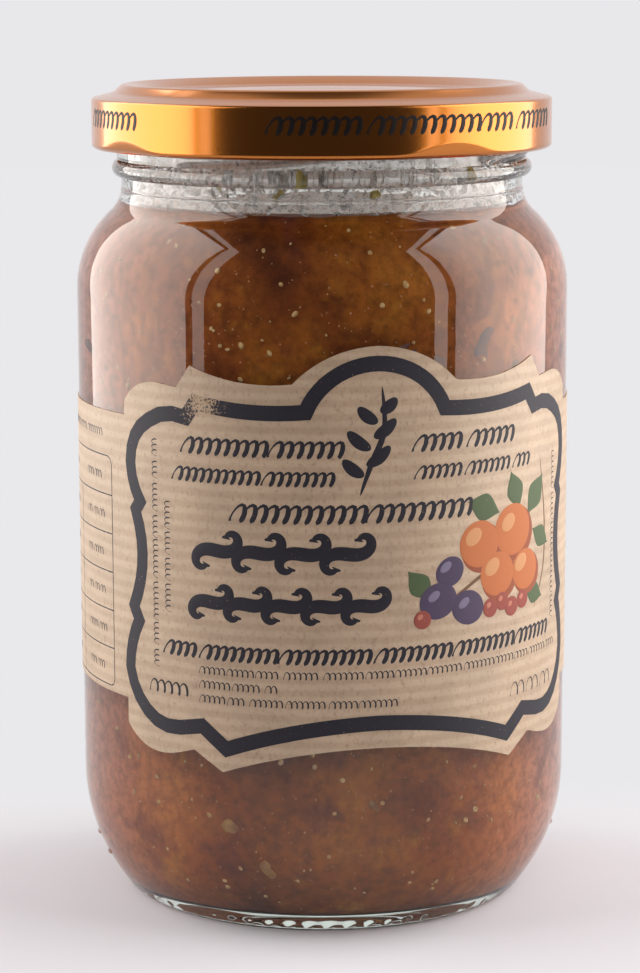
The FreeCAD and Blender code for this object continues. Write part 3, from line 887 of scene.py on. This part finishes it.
def sprig_strokes():
    """A leafy sprig in ink under the arch."""
    strokes = [swell_stroke([(-2.4, 63.2), (-0.8, 67.6), (0.9, 72.0), (0.6, 77.8)], 0.42)]
    for height, side, size in ((65.8, -1, 3.0), (67.2, 1, 3.4), (69.4, -1, 3.3), (71.0, 1, 3.2),
                               (73.0, -1, 2.8), (74.4, 1, 2.4)):
        root = -2.4 + (height - 63.8) * 0.26
        belly = (root + side * size * 0.5, height + size * 0.3)
        tip = (root + side * size * 0.95, height + size * 0.75)
        strokes.append(swell_stroke([(root, height), belly, tip], 0.85))
    return strokes


def stamp(bm, centre, size, turn, leaf, proud):
    """Adds one flat field of print, round or leaf shaped, as a closed lens on the flat drawing."""
    outline = [(0, 0.5), (0.35, 0.5), (0.7, 0.5), (0.96, 0.3), (1, 0), (0.7, -0.5), (0, -0.5)]
    lens = turned(outline, 36)
    for vert in lens.verts:
        x, y, z = vert.co
        if leaf:
            y *= (1 - abs(x) ** 1.6) * 1.2 + 0.02
        x, y = x * size[0], y * size[1]
        across = math.radians(turn)
        vert.co = (centre[0] + x * math.cos(across) - y * math.sin(across),
                   centre[1] + x * math.sin(across) + y * math.cos(across),
                   z * INK_DEPTH + proud)
    made = bpy.data.meshes.new("stamp")
    lens.to_mesh(made)
    lens.free()
    bm.from_mesh(made)
    bpy.data.meshes.remove(made)


def stamps(name, hex_code, shapes):
    """One colour of the picture. Each shape is centre, half size, turn, leaf or not, and lift."""
    bm = bmesh.new()
    for shape in shapes:
        stamp(bm, *shape)
    piece(name, bend(bm), printing_ink(name, hex_code), "label_paper")


def make_orchard_print():
    """A branch with apricots, plums and berries, printed in muted flat colours with a shade."""
    apricots = [((15.6, 55.2), (3.7, 3.5)), ((22.2, 56.4), (4.1, 3.9)), ((19.0, 50.6), (3.5, 3.3)),
                ((25.0, 50.4), (3.2, 3.1))]
    plums = [((8.8, 48.0), (2.9, 2.5), 20), ((13.6, 46.6), (2.7, 2.4), -15),
             ((10.6, 51.9), (2.3, 2.0), 35)]
    berries = [((17.6, 46.0), (1.35, 1.35)), ((19.9, 46.6), (1.3, 1.3)),
               ((21.9, 45.6), (1.4, 1.4)), ((6.4, 45.6), (1.3, 1.3)), ((24.4, 46.2), (1.3, 1.3))]
    leaves = [((16.4, 60.2), (3.2, 1.6), 160), ((6.0, 50.4), (2.8, 1.4), 130),
              ((27.6, 60.6), (3.4, 1.6), 50), ((22.6, 61.8), (3.0, 1.5), 110),
              ((29.2, 54.4), (2.8, 1.3), -30), ((27.4, 46.6), (2.6, 1.3), -20)]
    shaded = [((x + 0.5, y - 0.6), (a, b)) for (x, y), (a, b) in apricots]
    stamps("print_leaf_green", "#485639", [(*leaf, True, 0.01) for leaf in leaves])
    stamps("print_apricot_shade", "#8c4a30", [(*fruit, 0, False, 0.02) for fruit in shaded])
    stamps("print_apricot", "#b4673a", [((x, y), (a * 0.93, b * 0.93), 0, False, 0.035)
                                        for (x, y), (a, b) in apricots])
    stamps("print_apricot_light", "#c48a5c",
           [((x - 1.1, y + 1.1), (1.5, 1.1), 35, False, 0.06) for (x, y), _ in apricots])
    stamps("print_plum", "#463a50", [(*fruit, False, 0.04) for fruit in plums])
    stamps("print_plum_light", "#746a80",
           [((x - 0.7, y + 0.7), (1.0, 0.6), 35, False, 0.07) for (x, y), _, _ in plums])
    stamps("print_berry_red", "#8c4438", [(*fruit, 0, False, 0.045) for fruit in berries])
    stamps("print_berry_light", "#b5705c",
           [((x - 0.35, y + 0.4), (0.45, 0.35), 35, False, 0.07) for (x, y), _ in berries])
    twig = [swell_stroke([(7.0, 45.6), (14.5, 50.0), (22.0, 54.0), (27.5, 60.0)], 0.28)]
    twig += [swell_stroke([(27.5, 44.5), (30.2, 50.0), (30.4, 57.0), (28.8, 66.0)], 0.2)]
    piece("print_twig", drawn(twig), printing_ink("print_twig_brown", "#6a4c34"), "label_paper")


def make_print():
    turn = math.radians(LABEL_MIDDLE) - 24.5 / PAPER_RADIUS
    worn_place = (math.sin(turn) * PAPER_RADIUS, -math.cos(turn) * PAPER_RADIUS, 75.6)
    ink = printing_ink("navy_offset_ink", "#201e26", worn_place)
    make_border(ink)
    strokes = title_strokes() + small_print() + side_table() + sprig_strokes()
    piece("label_strokes", drawn(strokes), ink, "label_paper")
    make_orchard_print()
    rim = []
    for start, end in LID_ROWS:
        rim += waves(start, end, 112.2, 2.2, 0.36, 0.4, 1.5, 14)
    piece("lid_strokes", drawn(rim, SKIRT_RADIUS, 0), lid_offset_ink(), "lid_metal")


# ---------------- studio

LAMP_WIDTH = 0.5
BACKDROP_WAY = (0.07, 0.997, 0)          # straight back from the camera, and a little to the right
PANEL_RISE = (-0.16, -0.05)              # where a panel rises to its full strength, along Y

# side, corners as (y, z), full strength and strength at the near edge; the hems and heads give
# the panels their fainter rims
PANELS = {
    "panel_left": (-0.3, [(-0.160, 0), (0.26, 0), (0.44, 0.56), (-0.150, 0.495)], 4.3, 3.6),
    "hem_left": (-0.3, [(-0.224, 0), (-0.184, 0), (-0.168, 0.515), (-0.238, 0.540)], 2.4, 2.4),
    "head_left": (-0.3, [(-0.168, 0.516), (0.44, 0.60), (0.44, 0.67), (-0.238, 0.541)], 2.4, 2.4),
    "panel_right": (0.3, [(-0.173, 0), (0.18, 0), (0.30, 0.56), (-0.155, 0.490)], 4.5, 2.7),
    "hem_right": (0.3, [(-0.252, 0), (-0.202, 0), (-0.172, 0.510), (-0.232, 0.535)], 2.8, 2.8),
    "head_right": (0.3, [(-0.172, 0.511), (0.30, 0.60), (0.30, 0.66), (-0.232, 0.536)], 2.6, 2.6)}


def make_camera():
    camera = bpy.data.objects.new("camera", bpy.data.cameras.new("camera"))
    camera.data.lens = 106.42
    camera.data.sensor_width = 36
    camera.location = (-0.00017, -0.41367, 0.13192)
    camera.rotation_euler = (math.radians(90 - 10.104), math.radians(0.178), 0)
    bpy.context.scene.collection.objects.link(camera)
    bpy.context.scene.camera = camera


def stage_piece(name, bm, material):
    mesh = bpy.data.meshes.new(name)
    bm.to_mesh(mesh)
    bm.free()
    mesh.materials.append(material)
    made = bpy.data.objects.new(name, mesh)
    bpy.context.scene.collection.objects.link(made)
    return made


def make_panel(name, x, corners, full, edge):
    """A soft light panel beside the jar, which only gloss and metal show."""
    material = new_material(name)
    tree = material.node_tree
    along = add(tree, "ShaderNodeSeparateXYZ", {0: places(tree)}).outputs["Y"]
    level = add(tree, "ShaderNodeMapRange",
                {"Value": along, "From Min": PANEL_RISE[0], "From Max": PANEL_RISE[1],
                 "To Min": edge, "To Max": full})
    shine = add(tree, "ShaderNodeEmission", {"Color": colour("#fff8f2"), "Strength": level})
    add(tree, "ShaderNodeOutputMaterial", {"Surface": shine})
    bm = bmesh.new()
    bm.faces.new([bm.verts.new((x, *corner)) for corner in corners])
    made = stage_piece(name, bm, material)
    made.visible_camera = False
    made.visible_diffuse = False
    made.visible_transmission = False
    made.visible_shadow = False


def make_soft_box(name, place, turn, power):
    """A lamp that lights the jar and isn't mirrored in it: the panels stand for that."""
    lamp = bpy.data.objects.new(name, bpy.data.lights.new(name, "AREA"))
    lamp.data.size = LAMP_WIDTH
    lamp.data.energy = power
    lamp.location = place
    lamp.rotation_euler = (math.radians(turn[0]), 0, math.radians(turn[1]))
    lamp.visible_camera = False
    lamp.visible_glossy = False
    lamp.visible_transmission = False
    bpy.context.scene.collection.objects.link(lamp)


def seen_by(tree, *kinds):
    """1 for rays of these kinds, and 0 for the others, which give light."""
    path = add(tree, "ShaderNodeLightPath")
    seen = 0.0
    for kind in kinds:
        seen = add(tree, "ShaderNodeMath",
                   {0: seen, 1: path.outputs[f"Is {kind} Ray"]}, operation="MAXIMUM")
    return seen


def floor_sweep():
    """Matt white paper: it takes the jar's shadow and fades out into the backdrop. Behind the jar
    it is as pale as the backdrop for whatever sees or mirrors it."""
    material = new_material("floor_sweep")
    tree = material.node_tree
    paper = add(tree, "ShaderNodeBsdfPrincipled",
                {"Base Color": colour("#cfcbce"), "Roughness": 0.9, "Specular IOR Level": 0.1})
    nothing = add(tree, "ShaderNodeBsdfTransparent")
    distance = add(tree, "ShaderNodeVectorMath", {0: places(tree)}, operation="LENGTH")
    faded = add(tree, "ShaderNodeMapRange",
                {"Value": distance.outputs["Value"], "From Min": 0.2, "From Max": 0.4},
                interpolation_type="SMOOTHSTEP")
    sweep = add(tree, "ShaderNodeMixShader", {0: faded, 1: paper, 2: nothing})
    along = add(tree, "ShaderNodeSeparateXYZ", {0: places(tree)}).outputs["Y"]
    rear = add(tree, "ShaderNodeMapRange",
               {"Value": along, "From Min": 0.0, "From Max": 0.05}, interpolation_type="SMOOTHSTEP")
    seen = add(tree, "ShaderNodeMath",
               {0: rear, 1: seen_by(tree, "Camera", "Transmission", "Glossy")},
               operation="MULTIPLY")
    pale = add(tree, "ShaderNodeEmission", {"Color": colour("#e9e8ea"), "Strength": 1.0})
    both = add(tree, "ShaderNodeMixShader", {0: seen, 1: sweep, 2: pale})
    add(tree, "ShaderNodeOutputMaterial", {"Surface": both})
    return material


def make_floor():
    bm = bmesh.new()
    bmesh.ops.create_circle(bm, cap_ends=True, segments=96, radius=1.6)
    stage_piece("floor", bm, floor_sweep())


def make_world():
    """A pale backdrop for whatever looks at it, and a dim room whose rear wall is bright up to
    its ceiling, which gloss and shade take their light from."""
    world = bpy.data.worlds.new("studio")
    world.use_nodes = True
    bpy.context.scene.world = world
    tree = world.node_tree
    tree.nodes.clear()
    way = add(tree, "ShaderNodeTexCoord").outputs["Generated"]
    height = add(tree, "ShaderNodeSeparateXYZ", {0: way}).outputs["Z"]
    above = add(tree, "ShaderNodeMath", {0: 1.0, 1: height}, operation="SUBTRACT")
    below = add(tree, "ShaderNodeMath", {0: 1.0, 1: height}, operation="ADD")
    level = add(tree, "ShaderNodeMath", {0: above, 1: below}, operation="MULTIPLY")
    level = add(tree, "ShaderNodeMath", {0: level}, operation="SQRT")
    rearward = add(tree, "ShaderNodeVectorMath",
                   {0: way, 1: BACKDROP_WAY}, operation="DOT_PRODUCT").outputs["Value"]
    rearward = add(tree, "ShaderNodeMath", {0: rearward, 1: level}, operation="DIVIDE")
    wall = add(tree, "ShaderNodeMapRange",
               {"Value": rearward, "From Min": 0.66, "From Max": 0.72, "To Min": 0.07,
                "To Max": 1.0}, interpolation_type="SMOOTHSTEP")
    ceiling = add(tree, "ShaderNodeMapRange",
                  {"Value": height, "From Min": 0.86, "From Max": 0.97, "To Min": 1.0,
                   "To Max": 0.15}, interpolation_type="SMOOTHSTEP")
    glow = add(tree, "ShaderNodeMath", {0: wall, 1: ceiling}, operation="MULTIPLY")
    room = add(tree, "ShaderNodeBackground", {"Color": colour("#f6f2f4"), "Strength": glow})
    backdrop = add(tree, "ShaderNodeBackground", {"Color": colour("#e8e7ea"), "Strength": 1.0})
    both = add(tree, "ShaderNodeMixShader",
               {0: seen_by(tree, "Camera", "Transmission"), 1: room, 2: backdrop})
    add(tree, "ShaderNodeOutputWorld", {"Surface": both})


# ---------------- the whole jar

bpy.context.scene.view_settings.view_transform = "Standard"
make_camera()
for panel, facts in PANELS.items():
    make_panel(panel, *facts)
make_soft_box("fill", (0, -0.5, 0.55), (45, 0), 0.75)
make_soft_box("box_left", (-0.34, 0.06, 0.30), (80, -90), 3.1)
make_soft_box("box_right", (0.34, 0.02, 0.30), (80, 90), 3.65)
make_floor()
make_world()
clear_glass = container_glass()
make_glass(clear_glass)
make_mould_dots(clear_glass)
make_jam()
make_bits()
make_neck_traces()
make_lid()
make_print()
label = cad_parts["label"]
label.data.materials.clear()
label.data.materials.append(kraft_paper())
